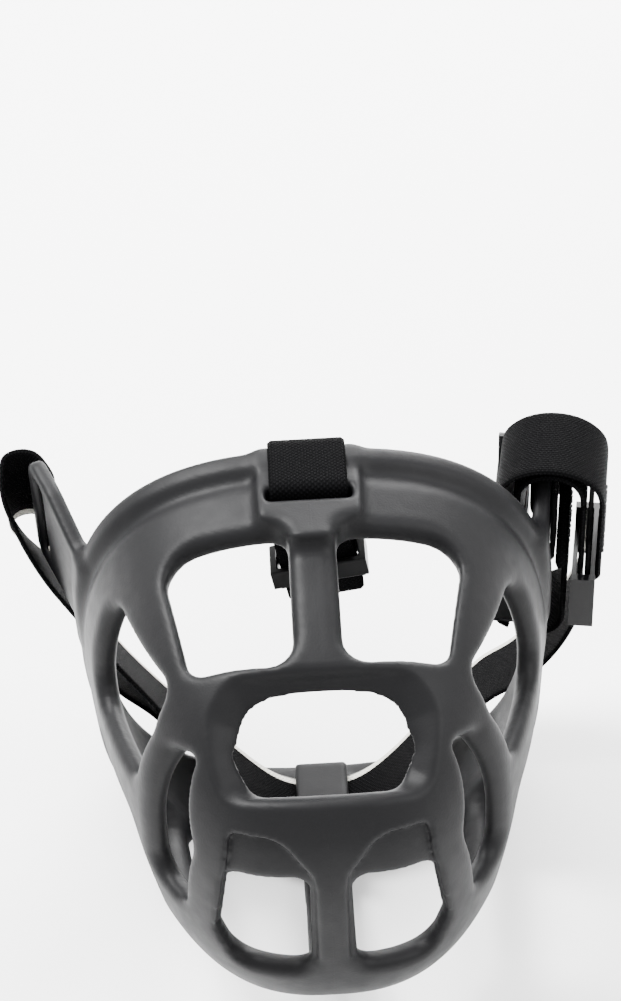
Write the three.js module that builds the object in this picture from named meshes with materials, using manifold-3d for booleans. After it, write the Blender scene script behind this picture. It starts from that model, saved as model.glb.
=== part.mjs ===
// Basket muzzle for a large dog: a moulded rubber basket with two strap arms, a neck strap with a
// side-release buckle and a ladder slider, and a short overhead strap through the slot in the rim.
// Millimetres. +Z is up, the nose points to -Y, +X is the wearer's left. The pieces are drawn with the rim
// in the plane y = 0, and the whole is moved at the end so that the origin is the middle of its base.
import * as THREE from 'three';
import { mergeVertices } from 'three/addons/utils/BufferGeometryUtils.js';
import Module from 'manifold-3d';

// ---- Driving dimensions -------------------------------------------------------------------------
const BASKET_LENGTH = 101; // rim plane to nose, at mid-wall
const RIM_HALF_WIDTH = 61; // at mid-wall
const RIM_HALF_HEIGHT = 62; // at mid-wall
const WALL = 6.5;
const BASKET_CENTRE_Z = RIM_HALF_HEIGHT + WALL / 2;
const SECTION_POWER = 2.6; // squareness of the basket's cross-section
const SIDE_POWER = 3.0; // roundness of the nose from above
const UNDERSIDE_POWER = 3.2; // roundness of the nose from below
const WIDTH_TAPER = 0.26;
const HEIGHT_TAPER = 0.12;
const CENTRE_DROP = 3;

const ARM_ROOT_X = 61.5;
const ARM_THICKNESS = 4.5;
const ARM_LENGTH = 33;
const LEFT_ARM_FLARE = THREE.MathUtils.degToRad(22.9); // bent outwards by its strap
const RIGHT_ARM_FLARE = THREE.MathUtils.degToRad(9.8);
const SLOT_START = 22;
const SLOT_END = 28;

const WEBBING_WIDTH = 25;
const WEBBING_THICKNESS = 1.4;
const WEBBING_LOW_Z = 76; // lower edge of the webbing where it passes an arm's slot
const WEBBING_HIGH_Z = WEBBING_LOW_Z + WEBBING_WIDTH;
const RUN_START = 6; // near edge of a vertical run, measured back along the arm
const RUN_END = RUN_START + WEBBING_WIDTH;
const RUN_CENTRE = (RUN_START + RUN_END) / 2;

const OUTER_STRAP_WIDTH = 20; // overhead strap
const GAP = 0.3; // clearance between pieces that touch

// Distances out from an arm's middle plane of each layer of webbing.
const SEWN_LAYER = 3.3;
const WRAP_LAYER = 5;
const RUN_LAYER = 6.8;
const NECK_LAYER = 11.2;
const LOOP_LAYER = 16.2;
const INSIDE_LAYER = -3.3;
const BUCKLE_LAYER = -9.1;

const wasm = await Module();
wasm.setup();

// ---- Solids -------------------------------------------------------------------------------------
function toSolid(geometry) {
  const bare = geometry.clone();
  bare.deleteAttribute('normal');
  bare.deleteAttribute('uv');
  const merged = mergeVertices(bare, 1e-4);
  return new wasm.Manifold(
    new wasm.Mesh({
      numProp: 3,
      vertProperties: Float32Array.from(merged.attributes.position.array),
      triVerts: Uint32Array.from(merged.index.array),
    }),
  );
}

function toGeometry(solid) {
  const mesh = solid.getMesh();
  const geometry = new THREE.BufferGeometry();
  geometry.setAttribute('position', new THREE.Float32BufferAttribute(Float32Array.from(mesh.vertProperties), 3));
  geometry.setIndex(Array.from(mesh.triVerts));
  geometry.computeVertexNormals();
  return geometry;
}

function signedVolume(points, index) {
  let total = 0;
  for (let i = 0; i < index.length; i += 3) {
    const [a, b, c] = [points[index[i]], points[index[i + 1]], points[index[i + 2]]];
    total += a.dot(b.clone().cross(c)) / 6;
  }
  return total;
}

// Joins rings of equal point count into one closed body; each end is closed by a fan to its middle.
function solidFromRings(rings) {
  const count = rings[0].length;
  const points = rings.flat().map((point) => point.clone());
  const index = [];
  for (let r = 0; r + 1 < rings.length; r += 1) {
    for (let i = 0; i < count; i += 1) {
      const next = (i + 1) % count;
      const low = r * count;
      const high = low + count;
      index.push(low + i, low + next, high + next, low + i, high + next, high + i);
    }
  }
  const middleOf = (ring) => ring.reduce((sum, point) => sum.add(point), new THREE.Vector3()).divideScalar(count);
  const first = points.push(middleOf(rings[0])) - 1;
  const last = points.push(middleOf(rings[rings.length - 1])) - 1;
  const lastRing = (rings.length - 1) * count;
  for (let i = 0; i < count; i += 1) {
    const next = (i + 1) % count;
    index.push(first, next, i);
    index.push(last, lastRing + i, lastRing + next);
  }
  if (signedVolume(points, index) < 0) index.reverse();
  const geometry = new THREE.BufferGeometry();
  geometry.setAttribute('position', new THREE.Float32BufferAttribute(points.flatMap((p) => p.toArray()), 3));
  geometry.setIndex(index);
  geometry.computeVertexNormals();
  return geometry;
}

// A box between two corners given in a local frame, each corner mapped to the object by place().
function boxBetween(low, high, place) {
  const ring = (z) =>
    [
      [low[0], low[1]],
      [high[0], low[1]],
      [high[0], high[1]],
      [low[0], high[1]],
    ].map(([u, v]) => place(u, v, z));
  return solidFromRings([ring(low[2]), ring(high[2])]);
}

// A polygon's outline with each corner rounded; corners are [u, v] or [u, v, radius].
function roundedOutline(corners, radius, steps = 3) {
  const outline = [];
  corners.forEach((corner, i) => {
    const here = new THREE.Vector2(corner[0], corner[1]);
    const before = new THREE.Vector2(...corners.at(i - 1).slice(0, 2)).sub(here).normalize();
    const after = new THREE.Vector2(...corners[(i + 1) % corners.length].slice(0, 2)).sub(here).normalize();
    const bend = corner[2] ?? radius;
    const half = Math.acos(THREE.MathUtils.clamp(before.dot(after), -1, 1)) / 2;
    const reach = bend / Math.tan(half);
    const centre = here.clone().addScaledVector(before.clone().add(after).normalize(), bend / Math.sin(half));
    const start = here.clone().addScaledVector(before, reach).sub(centre);
    const end = here.clone().addScaledVector(after, reach).sub(centre);
    let sweep = end.angle() - start.angle();
    if (sweep > Math.PI) sweep -= 2 * Math.PI;
    if (sweep < -Math.PI) sweep += 2 * Math.PI;
    for (let k = 0; k <= steps; k += 1) {
      outline.push(centre.clone().add(start.clone().rotateAround(new THREE.Vector2(), (sweep * k) / steps)));
    }
  });
  return outline;
}

function joinAll(geometries) {
  return geometries.map(toSolid).reduce((whole, piece) => whole.add(piece));
}

function cutAll(solid, geometries) {
  return geometries.map(toSolid).reduce((whole, piece) => whole.subtract(piece), solid);
}

// ---- The basket ---------------------------------------------------------------------------------
// A point on the basket's wall. turn runs round the section, depth is 0 at the rim and 1 at the nose,
// and out is the distance from mid-wall.
function wallPoint(turn, depth, out) {
  const side = (1 - depth ** SIDE_POWER) ** (1 / SIDE_POWER);
  const under = (1 - depth ** UNDERSIDE_POWER) ** (1 / UNDERSIDE_POWER);
  const across = Math.cos(turn);
  const up = Math.sin(turn);
  const halfWidth = (RIM_HALF_WIDTH + out) * (1 - WIDTH_TAPER * depth) * side;
  const halfHeight = (RIM_HALF_HEIGHT + out) * (1 - HEIGHT_TAPER * depth) * (up < 0 ? under : side);
  return new THREE.Vector3(
    halfWidth * Math.sign(across) * Math.abs(across) ** (2 / SECTION_POWER),
    -depth * (BASKET_LENGTH + out),
    BASKET_CENTRE_Z - CENTRE_DROP * depth + halfHeight * Math.sign(up) * Math.abs(up) ** (2 / SECTION_POWER),
  );
}

function cup() {
  const columns = 48;
  const rows = 12;
  const ring = (depth, out) =>
    Array.from({ length: columns }, (_, i) => wallPoint((2 * Math.PI * (i + 0.5)) / columns, depth, out));
  const depths = Array.from({ length: rows }, (_, i) => Math.sin((Math.PI / 2) * (i / rows)));
  const rings = [ring(0.999, WALL / 2)];
  for (const depth of depths.slice().reverse()) rings.push(ring(depth, WALL / 2));
  for (const depth of depths) rings.push(ring(depth, -WALL / 2));
  rings.push(ring(0.999, -WALL / 2));
  return solidFromRings(rings);
}

// Each opening is an outline and the two levels it is cut between, along one of three directions.
const alongZ = (low, high) => ({ low, high, place: (u, v, level) => new THREE.Vector3(u, v, level) });
const alongY = (low, high) => ({ low, high, place: (u, v, level) => new THREE.Vector3(u, level, v) });
const alongX = (low, high) => ({ low, high, place: (u, v, level) => new THREE.Vector3(level, u, v) });

const TOP_OPENING = [[6.2, -27, 5], [38.5, -26, 7], [31.5, -61, 6], [6.2, -64, 6]];
const FRONT_OPENING = [[5, 81.5, 4], [25, 79, 4], [28, 55.5, 8], [24, 45, 5], [6, 46.5, 5]];
const SIDE_REAR_OPENING = [[-25.5, 104, 6], [-60, 107, 6], [-64.5, 97, 6], [-64, 79, 5], [-28, 72, 8]];
const SIDE_FRONT_OPENING = [[-72, 98, 2.5], [-77.5, 101, 2], [-88.5, 80, 10], [-86, 55, 5], [-72, 53, 5]];
const SIDE_LOWER_OPENING = [[-28, 58, 6], [-60, 60, 6], [-71, 44, 8], [-66, 26, 6], [-28, 20, 7]];
const BOTTOM_OPENING = [[6.5, -28, 5], [39, -28, 7], [34, -66, 8], [22, -84, 6], [6.5, -86, 5]];

const OPENINGS = [
  { outline: TOP_OPENING, ...alongZ(90, 140) },
  { outline: FRONT_OPENING, ...alongY(-84, -112) },
  { outline: SIDE_REAR_OPENING, ...alongX(28, 80) },
  { outline: SIDE_FRONT_OPENING, ...alongX(14, 60) },
  { outline: SIDE_LOWER_OPENING, ...alongX(28, 80) },
  { outline: BOTTOM_OPENING, ...alongZ(-6, 32) },
];

function openingCutters() {
  const cutters = [];
  for (const { outline, low, high, place } of OPENINGS) {
    const points = roundedOutline(outline, 6);
    const ring = (level) => points.map((p) => place(p.x, p.y, level));
    const cutter = solidFromRings([ring(low), ring(high)]);
    cutters.push(cutter, mirrored(cutter));
  }
  return cutters;
}

// The same body on the other side of the plane x = 0.
function mirrored(geometry) {
  const copy = geometry.clone().applyMatrix4(new THREE.Matrix4().makeScale(-1, 1, 1));
  copy.setIndex(Array.from(copy.index.array).reverse());
  return copy;
}

// The nose opening faces up and forwards, with a wide bevel round it.
const NOSE_CENTRE = new THREE.Vector3(0, -81.1, 107);
const NOSE_TILT = Math.atan2(0.831, 0.556); // elevation of the direction it faces
const NOSE_HOLE = [[15.5, 11.2], [20.6, 2], [18, -11.2], [-18, -11.2], [-20.6, 2], [-15.5, 11.2]];
const NOSE_LIP = [[21, 16], [29, 8], [26.5, -12], [-26.5, -12], [-29, 8], [-21, 16]];

function noseCutter() {
  const place = (across, up, out) =>
    new THREE.Vector3(
      across,
      NOSE_CENTRE.y + up * Math.sin(NOSE_TILT) - out * Math.cos(NOSE_TILT),
      NOSE_CENTRE.z + up * Math.cos(NOSE_TILT) + out * Math.sin(NOSE_TILT),
    );
  const hole = roundedOutline(NOSE_HOLE, 4);
  const lip = roundedOutline(NOSE_LIP, 5);
  const ring = (outline, out, scale = 1) => outline.map((p) => place(p.x * scale, p.y * scale, out));
  return solidFromRings([ring(hole, -16), ring(hole, -7.5), ring(lip, -2.5), ring(lip, 10, 1.3)]);
}

// A recess above each front opening, deepest at its outer end.
function frontRecess() {
  const hole = roundedOutline([[5, 81.5], [25, 79], [28, 55.5], [24, 45], [6, 46.5]], 4);
  const lip = roundedOutline([[4.8, 83.5], [15, 92], [27, 92.5], [29.5, 55], [24, 44]], 4);
  const ring = (outline, level) => outline.map((p) => new THREE.Vector3(p.x, level, p.y));
  return solidFromRings([ring(hole, -94), ring(lip, -102.5), ring(lip, -112)]);
}

// ---- Strap arms ---------------------------------------------------------------------------------
// side is -1 for the left arm in front view and 1 for the right; back runs along the arm from the rim,
// out is measured from the arm's middle plane, away from the basket.
function armPlace(side) {
  const flare = side < 0 ? LEFT_ARM_FLARE : RIGHT_ARM_FLARE;
  return (back, out, z) =>
    new THREE.Vector3(
      side * (ARM_ROOT_X + back * Math.sin(flare) + out * Math.cos(flare)),
      back * Math.cos(flare) - out * Math.sin(flare),
      z,
    );
}

const ARM_OUTLINE = [[-6, 66, 3], [14, 70, 12], [33, 71, 5], [33, 106, 5], [18, 105, 20], [-6, 97, 3]];

function arm(side) {
  const place = armPlace(side);
  const outline = roundedOutline(ARM_OUTLINE, 4);
  const half = ARM_THICKNESS / 2;
  const ring = (out) => outline.map((p) => place(p.x, out, p.y));
  return toSolid(solidFromRings([ring(-half), ring(half)]));
}

function armSlot(side) {
  const place = armPlace(side);
  const clear = 0.8;
  const low = [SLOT_START, WEBBING_LOW_Z - clear, -8];
  const high = [SLOT_END, WEBBING_HIGH_Z + clear, 8];
  return boxBetween(low, high, (back, z, out) => place(back, out, z));
}

// ---- Rim details --------------------------------------------------------------------------------
const RIM_SLOT_HALF = OUTER_STRAP_WIDTH / 2 + 1;
const RIM_SLOT_FRONT = -19.5;
const RIM_SLOT_BACK = -15.5;
const RIM_TOP = BASKET_CENTRE_Z + RIM_HALF_HEIGHT + WALL / 2;

// The thickened plate round the overhead strap's slot, blending into the centre bar.
function slotPlate() {
  const outline = roundedOutline([[13, -26, 3], [13, -1, 2], [-13, -1, 2], [-13, -26, 3], [-7, -33, 3], [7, -33, 3]], 2);
  const ring = (level) => outline.map((p) => new THREE.Vector3(p.x, p.y, level));
  return solidFromRings([ring(RIM_TOP - 6), ring(RIM_TOP + 0.6)]);
}

function rimSlot() {
  const low = [-RIM_SLOT_HALF, RIM_SLOT_FRONT, RIM_TOP - 14];
  const high = [RIM_SLOT_HALF, RIM_SLOT_BACK, RIM_TOP + 6];
  return boxBetween(low, high, (x, y, z) => new THREE.Vector3(x, y, z));
}

// A bridge on the chin that the neck strap passes under.
const CHIN_LOOP_HALF = 7.5;
const CHIN_LOOP_FRONT = -38.8;
const CHIN_LOOP_BACK = -6.3;
const CHIN_LOOP_LEG = 2.4;
const CHIN_LOOP_TOP = 14.2;
const CHIN_WINDOW_LOW = 7.5;
const CHIN_WINDOW_HIGH = 11.5;

function chinLoop() {
  const outline = roundedOutline(
    [[CHIN_LOOP_FRONT, 3, 1], [CHIN_LOOP_BACK, 3, 1], [CHIN_LOOP_BACK, CHIN_LOOP_TOP, 3], [CHIN_LOOP_FRONT, CHIN_LOOP_TOP, 3]],
    2,
  );
  const ring = (level) => outline.map((p) => new THREE.Vector3(level, p.x, p.y));
  return solidFromRings([ring(-CHIN_LOOP_HALF), ring(CHIN_LOOP_HALF)]);
}

function chinWindow() {
  const low = [-12, CHIN_LOOP_FRONT + CHIN_LOOP_LEG, CHIN_WINDOW_LOW];
  const high = [12, CHIN_LOOP_BACK - CHIN_LOOP_LEG, CHIN_WINDOW_HIGH];
  return boxBetween(low, high, (x, y, z) => new THREE.Vector3(x, y, z));
}

// The flat the muzzle stands on: a wide foot under the rim and a rib under the chin bar.
const FOOT_HALF = 26;
const FOOT_FRONT = -12;
const RIB_HALF = 6;
const RIB_FRONT = -52;

function restingFoot() {
  const upright = (outline, low, high) => {
    const ring = (level) => roundedOutline(outline, 3).map((p) => new THREE.Vector3(p.x, p.y, level));
    return solidFromRings([ring(low), ring(high)]);
  };
  const foot = [[-FOOT_HALF, FOOT_FRONT], [FOOT_HALF, FOOT_FRONT], [FOOT_HALF, 0], [-FOOT_HALF, 0]];
  const rib = [[-RIB_HALF, RIB_FRONT], [RIB_HALF, RIB_FRONT], [RIB_HALF, FOOT_FRONT + 6], [-RIB_HALF, FOOT_FRONT + 6]];
  return joinAll([upright(foot, 0, 4), upright(rib, 0, 7)]);
}

function basketGeometry() {
  let solid = cutAll(toSolid(cup()), [...openingCutters(), noseCutter(), frontRecess(), mirrored(frontRecess())]);
  solid = solid.add(toSolid(slotPlate())).add(toSolid(chinLoop())).add(restingFoot());
  for (const side of [-1, 1]) solid = solid.add(arm(side));
  solid = cutAll(solid, [rimSlot(), chinWindow(), armSlot(-1), armSlot(1)]);
  return toGeometry(solid);
}

// ---- Webbing ------------------------------------------------------------------------------------
// A flat strap through a list of stations. A station is the strap's two edges and the direction its
// marked face looks; without one, the face is worked out from the neighbouring stations.
function webbing(stations, thickness = WEBBING_THICKNESS) {
  const middles = stations.map(({ a, b }) => a.clone().add(b).multiplyScalar(0.5));
  const rings = stations.map(({ a, b, face }, i) => {
    const along = middles[Math.min(i + 1, stations.length - 1)].clone().sub(middles[Math.max(i - 1, 0)]);
    const normal = (face ? face.clone() : b.clone().sub(a).cross(along)).normalize().multiplyScalar(thickness / 2);
    return [a.clone().add(normal), b.clone().add(normal), b.clone().sub(normal), a.clone().sub(normal)];
  });
  return solidFromRings(rings);
}

// Stations of a strap whose edges stay square to a plane: path points are [p, q] in that plane.
function stationsAlong(path, edgeA, edgeB) {
  return path.map(([p, q]) => ({ a: edgeA(p, q), b: edgeB(p, q) }));
}

// Points on an arc in a path's plane, from one angle to another in degrees.
function arcPath(centreP, centreQ, radius, from, to, steps) {
  return Array.from({ length: steps + 1 }, (_, i) => {
    const angle = THREE.MathUtils.degToRad(from + ((to - from) * i) / steps);
    return [centreP + radius * Math.cos(angle), centreQ + radius * Math.sin(angle)];
  });
}

// From the top of a vertical run: a diagonal fold on to the wrap layer, back round the arm's rear bar,
// forwards inside it, out through the slot and flat against the arm, where the end is sewn down.
function armWrap(side) {
  const place = armPlace(side);
  const zero = place(0, 0, 0);
  const outward = place(0, 1, 0).sub(zero);
  const back = place(1, 0, 0).sub(zero);
  const crease = new THREE.Vector3(0, 0, 1).sub(back).normalize();
  const foldEdge = (out, shift) => ({
    a: place(RUN_START, out, WEBBING_LOW_Z).addScaledVector(crease, shift),
    b: place(RUN_END, out, WEBBING_HIGH_Z).addScaledVector(crease, shift),
  });
  const bulge = (RUN_LAYER - WRAP_LAYER) / 2;
  const stations = [
    { ...foldEdge(RUN_LAYER, 0), face: outward },
    { ...foldEdge((RUN_LAYER + WRAP_LAYER) / 2, bulge), face: crease },
    { ...foldEdge(WRAP_LAYER, 0), face: outward.clone().negate() },
  ];
  const wrapCentre = (WRAP_LAYER + INSIDE_LAYER) / 2;
  const wrapRadius = (WRAP_LAYER - INSIDE_LAYER) / 2;
  const path = [
    ...arcPath(32.5, wrapCentre, wrapRadius, 90, -90, 6),
    [28.6, INSIDE_LAYER],
    [26, -2.4],
    [25, -0.8],
    [25, 0.8],
    [24, 2.5],
    [21.5, SEWN_LAYER],
    [9, SEWN_LAYER],
  ];
  const edge = (z) => (along, out) => place(along, out, z);
  return stations.concat(stationsAlong(path, edge(WEBBING_LOW_Z), edge(WEBBING_HIGH_Z)));
}

const point = (x, y, z) => new THREE.Vector3(x, y, z);

// A station by its middle and the direction from its front edge to its rear edge.
function station(x, y, z, across) {
  const half = new THREE.Vector3(...across).normalize().multiplyScalar(WEBBING_WIDTH / 2);
  const middle = point(x, y, z);
  return { a: middle.clone().sub(half), b: middle.clone().add(half) };
}

// Round the rear end of the left arm, forwards inside it and out into its slot, where the end stops.
function leftArmHold() {
  const place = armPlace(-1);
  const path = [[40.6, 6.4], [42, 3.6], [41.4, 0.2], [38.8, -2.5], [34.5, INSIDE_LAYER], [28.4, INSIDE_LAYER], [26, -2.4], [25, -0.8], [25, 1.6]];
  return path.map(([along, out]) => ({ a: place(along, out, WEBBING_HIGH_Z), b: place(along, out, WEBBING_LOW_Z) }));
}

// The neck strap: from the left arm down behind the rim, through the chin loop, and up the right side
// to the slider. Its rear edge drops as it rises towards an arm, so that it ends on edge.
function neckStrap() {
  const right = armPlace(1);
  const rightRun = (z) => ({ a: right(RUN_START, NECK_LAYER, z), b: right(RUN_END, NECK_LAYER, z) });
  const stations = [
    ...leftArmHold().reverse(),
    station(-83.2, 31.2, 83.5, [0.04, 0.3, -0.95]),
    station(-79, 28, 75.5, [0.1, 0.6, -0.8]),
    station(-72.5, 23, 66.5, [0.1, 0.78, -0.62]),
    station(-65, 17.5, 57, [0, 0.85, -0.53]),
    station(-56, 12.5, 43.5, [0, 0.85, -0.53]),
    station(-47, 8.5, 32.5, [0, 0.87, -0.5]),
    station(-35, -1, 23.4, [0, 0.94, -0.34]),
    station(-23, -12.5, 17.2, [0, 0.97, -0.22]),
    station(-14, -19, 12.5, [0, 0.995, -0.1]),
    station(-8, -21.6, 10.7, [0, 1, 0]),
    station(0, -22.4, 10.3, [0, 1, 0]),
    station(8, -21.6, 10.7, [0, 1, 0]),
    station(14, -19, 12.5, [0, 0.995, -0.1]),
    station(23, -12.5, 16.4, [0, 0.97, -0.22]),
    station(36, 1, 21, [0, 0.95, -0.3]),
    station(49, 12.9, 24.3, [0, 0.96, -0.28]),
    station(58, 14.8, 29, [0.03, 0.97, -0.24]),
    station(65, 16.2, 35.6, [0.05, 0.98, -0.18]),
    station(70.6, 17.2, 43.6, [0.1, 0.99, -0.1]),
    station(74.3, 17.9, 51.2, [0.14, 0.99, -0.05]),
    rightRun(59),
    rightRun(64),
    rightRun(ARCH_Z - GAP),
  ];
  return webbing(stations);
}

// The strap's free tail, tucked back through the chin loop under the strap.
function strapTail() {
  const stations = [
    station(-60.5, 15.5, 37.5, [0, 0.9, -0.42]),
    station(-55, 14, 31.5, [0, 0.9, -0.42]),
    station(-47, 12.6, 24.4, [0, 0.92, -0.39]),
    station(-35, 3.5, 17.6, [0, 0.95, -0.3]),
    station(-23, -11, 13.4, [0, 0.97, -0.22]),
    station(-14, -20.4, 10.4, [0, 0.995, -0.1]),
    station(-8, -22.2, 8.9, [0, 1, 0]),
    station(0, -22.4, 8.6, [0, 1, 0]),
    station(8, -22.2, 8.8, [0, 1, 0]),
  ];
  return webbing(stations);
}

const ARCH_Z = 99.8; // where the doubled webbing starts to turn over the right arm
const SLIDER_Z = 66;
const TOP_BAR_Z = SLIDER_Z + 8;

// The adjusting loop: sewn round the slider's top bar, over the arm, round the clip's bar and back over.
function adjusterLoop() {
  const place = armPlace(1);
  const barTurn = 2.5;
  const barFront = BUCKLE_LAYER + barTurn;
  const barBack = BUCKLE_LAYER - barTurn;
  const endLayer = NECK_LAYER + 1.9;
  const barMiddle = (endLayer + LOOP_LAYER) / 2;
  const flattening = 0.78; // of the outer layer's arch, which is pulled down on to the inner one
  const archOver = (from, to, start, end, rise) =>
    arcPath((from + to) / 2, 0, Math.abs(from - to) / 2, start, end, 8).map(([out, z]) => [out, ARCH_Z + z * rise]);
  const path = [
    [endLayer, TOP_BAR_Z + 12],
    [endLayer, TOP_BAR_Z],
    ...arcPath(barMiddle, TOP_BAR_Z - 0.4, barMiddle - endLayer, 200, 340, 4),
    [LOOP_LAYER, TOP_BAR_Z],
    ...archOver(LOOP_LAYER, barBack, 0, 180, flattening),
    ...arcPath(BUCKLE_LAYER, 96, barTurn, 180, 360, 6),
    ...archOver(barFront, NECK_LAYER, 180, 0, 1),
  ];
  const edge = (along) => (out, z) => place(along, out, z);
  return webbing(stationsAlong(path, edge(RUN_START), edge(RUN_END)));
}

// The short strap that ties the buckle's housing to the right arm.
function buckleStrap() {
  const place = armPlace(1);
  const barTurn = 2.5;
  const front = BUCKLE_LAYER + barTurn;
  const rear = BUCKLE_LAYER - barTurn;
  const turnZ = 56;
  const turnRadius = (RUN_LAYER - front) / 2;
  const turnCentre = (RUN_LAYER + front) / 2;
  const path = [
    [BUCKLE_LAYER + 1, turnZ - 5],
    [rear + 0.6, turnZ - 3],
    [rear, turnZ - 0.6],
    ...arcPath(BUCKLE_LAYER, turnZ + 4, barTurn, 180, 0, 5),
    ...arcPath(turnCentre, turnZ, turnRadius, 180, 360, 8),
    [RUN_LAYER, 64],
    [RUN_LAYER, 72],
  ];
  const edge = (along) => (out, z) => place(along, out, z);
  const stations = stationsAlong(path, edge(RUN_START), edge(RUN_END));
  return webbing([...stations, ...armWrap(1)]);
}

// ---- Buckle and slider --------------------------------------------------------------------------
// The buckle hangs inside the right arm, its length along z.
const buckleAt = (across, thick, z) => armPlace(1)(RUN_CENTRE + across, BUCKLE_LAYER + thick, z);
const buckleBox = (low, high) => boxBetween(low, high, buckleAt);

const HOUSING_LOW = 56;
const HOUSING_HIGH = 84;
const BUCKLE_HALF_WIDTH = 16;
const BUCKLE_HALF_THICKNESS = 4.7;
const STRAP_WINDOW_HALF = 13.3;
const BAR_HALF_THICKNESS = 1.5;

function buckleHousing() {
  const outline = roundedOutline(
    [[-16, HOUSING_LOW, 2], [16, HOUSING_LOW, 2], [16, HOUSING_HIGH, 1.5], [-16, HOUSING_HIGH, 1.5]],
    2,
    2,
  );
  const ring = (thick) => outline.map((p) => buckleAt(p.x, thick, p.y));
  const body = toSolid(solidFromRings([ring(-BUCKLE_HALF_THICKNESS), ring(BUCKLE_HALF_THICKNESS)]));
  return toGeometry(
    cutAll(body, [
      buckleBox([-13.4, -3, HOUSING_LOW + 11], [13.4, 3, HOUSING_HIGH + 1]), // cavity
      buckleBox([-17, -3.4, HOUSING_LOW + 12.5], [-10, 3.4, HOUSING_HIGH + 1]), // release windows
      buckleBox([10, -3.4, HOUSING_LOW + 12.5], [17, 3.4, HOUSING_HIGH + 1]),
      buckleBox([-STRAP_WINDOW_HALF, -6, HOUSING_LOW + 3.6], [STRAP_WINDOW_HALF, 6, HOUSING_LOW + 7.6]), // strap window
      buckleBox([-STRAP_WINDOW_HALF, -6, HOUSING_LOW - 2], [STRAP_WINDOW_HALF, -BAR_HALF_THICKNESS, HOUSING_LOW + 5]), // strap bar
      buckleBox([-STRAP_WINDOW_HALF, BAR_HALF_THICKNESS, HOUSING_LOW - 2], [STRAP_WINDOW_HALF, 6, HOUSING_LOW + 5]),
    ]),
  );
}

const CLIP_LOW = HOUSING_HIGH + GAP;
const CLIP_HIGH = 100;

function clipBase() {
  const outline = roundedOutline([[-15.5, CLIP_LOW], [15.5, CLIP_LOW], [16, CLIP_HIGH], [-16, CLIP_HIGH]], 1.5, 2);
  const ring = (thick) => outline.map((p) => buckleAt(p.x, thick, p.y));
  const frame = cutAll(toSolid(solidFromRings([ring(-4.3), ring(4.3)])), [
    buckleBox([-STRAP_WINDOW_HALF, -6, 91], [STRAP_WINDOW_HALF, 6, 95.4]),
    buckleBox([-STRAP_WINDOW_HALF, -6, 93], [STRAP_WINDOW_HALF, -BAR_HALF_THICKNESS, 102]),
    buckleBox([-STRAP_WINDOW_HALF, BAR_HALF_THICKNESS, 93], [STRAP_WINDOW_HALF, 6, 102]),
  ]);
  return toGeometry(frame.add(toSolid(buckleBox([-2.2, -2.4, 69], [2.2, 2.4, CLIP_LOW + 1]))));
}

// A release prong: a springy stem with a button head that fills the housing's side window.
function releaseProng(side) {
  const outline = [[8, CLIP_LOW - GAP], [8.6, 70.6], [10.5, 68.9], [13.5, 70.4], [15.6, 73], [15.6, 78], [12.8, 80.5], [10.8, 80.5], [10.6, CLIP_LOW - GAP]];
  const ring = (thick) => outline.map(([u, z]) => buckleAt(side * u, thick, z));
  return solidFromRings([ring(-2.6), ring(2.6)]);
}

// A ladder slider: the neck strap runs up through it, between the middle bar and the lower bar, and the
// adjusting loop is sewn round the top bar.
function slider() {
  const at = (across, out, z) => armPlace(1)(RUN_CENTRE + across, NECK_LAYER + out, z);
  const box = (low, high) => boxBetween(low, high, at);
  const inner = 13.2;
  const outer = 15.6;
  const half = 9;
  const reach = inner + 1;
  const pieces = [
    box([-outer, -2.4, SLIDER_Z - half], [-inner, 4.3, SLIDER_Z + half]),
    box([inner, -2.4, SLIDER_Z - half], [outer, 4.3, SLIDER_Z + half]),
    box([-reach, -2.4, SLIDER_Z - 1.6], [reach, -1.1, SLIDER_Z + 1.6]),
    box([-reach, 1.1, SLIDER_Z - half], [reach, 2.8, SLIDER_Z - half + 3]),
    box([-reach, 2.8, TOP_BAR_Z - 0.8], [reach, 4.1, TOP_BAR_Z + 1]),
  ];
  return toGeometry(joinAll(pieces));
}

// ---- Overhead strap -----------------------------------------------------------------------------
// A loop round the rim between the slot and the rear edge, and a folded tail that hangs inside.
const LOOP_TOP = RIM_TOP + 1.9;
const LOOP_UNDER = RIM_TOP - WALL - 1.6;

function overheadLoop() {
  const slotMiddle = (RIM_SLOT_FRONT + RIM_SLOT_BACK) / 2;
  const path = [
    [slotMiddle, LOOP_UNDER - 1.2],
    [slotMiddle, RIM_TOP - 1],
    [slotMiddle + 0.6, LOOP_TOP - 0.7],
    [slotMiddle + 2.6, LOOP_TOP],
    [-1, LOOP_TOP],
    [1.6, LOOP_TOP - 1.4],
    [2.4, RIM_TOP - 3],
    [1.6, LOOP_UNDER + 0.4],
    [-1.5, LOOP_UNDER - 0.2],
    [slotMiddle + 3.4, LOOP_UNDER - 1.6],
  ];
  const half = OUTER_STRAP_WIDTH / 2;
  return webbing(stationsAlong(path, (y, z) => point(-half, y, z), (y, z) => point(half, y, z)));
}

const TAIL_TOP = LOOP_UNDER - 3.8;
const TAIL_Y = -15.9; // midway between its two layers
const TAIL_HALF_GAP = 2.2;
const TAIL_TILT = THREE.MathUtils.degToRad(9); // leans to one side as it hangs

function tailPlace(across, y, down) {
  return point(
    across * Math.cos(TAIL_TILT) + down * Math.sin(TAIL_TILT),
    y,
    TAIL_TOP - 1.7 - down * Math.cos(TAIL_TILT) + across * Math.sin(TAIL_TILT),
  );
}

function overheadTail() {
  const path = [
    [TAIL_Y - TAIL_HALF_GAP, 0],
    [TAIL_Y - TAIL_HALF_GAP, 21],
    ...arcPath(TAIL_Y, 21, TAIL_HALF_GAP, 180, 0, 6),
    [TAIL_Y + TAIL_HALF_GAP, 0],
  ];
  const half = OUTER_STRAP_WIDTH / 2;
  return webbing(
    stationsAlong(path, (y, down) => tailPlace(-half, y, down), (y, down) => tailPlace(half, y, down)),
  );
}

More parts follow.
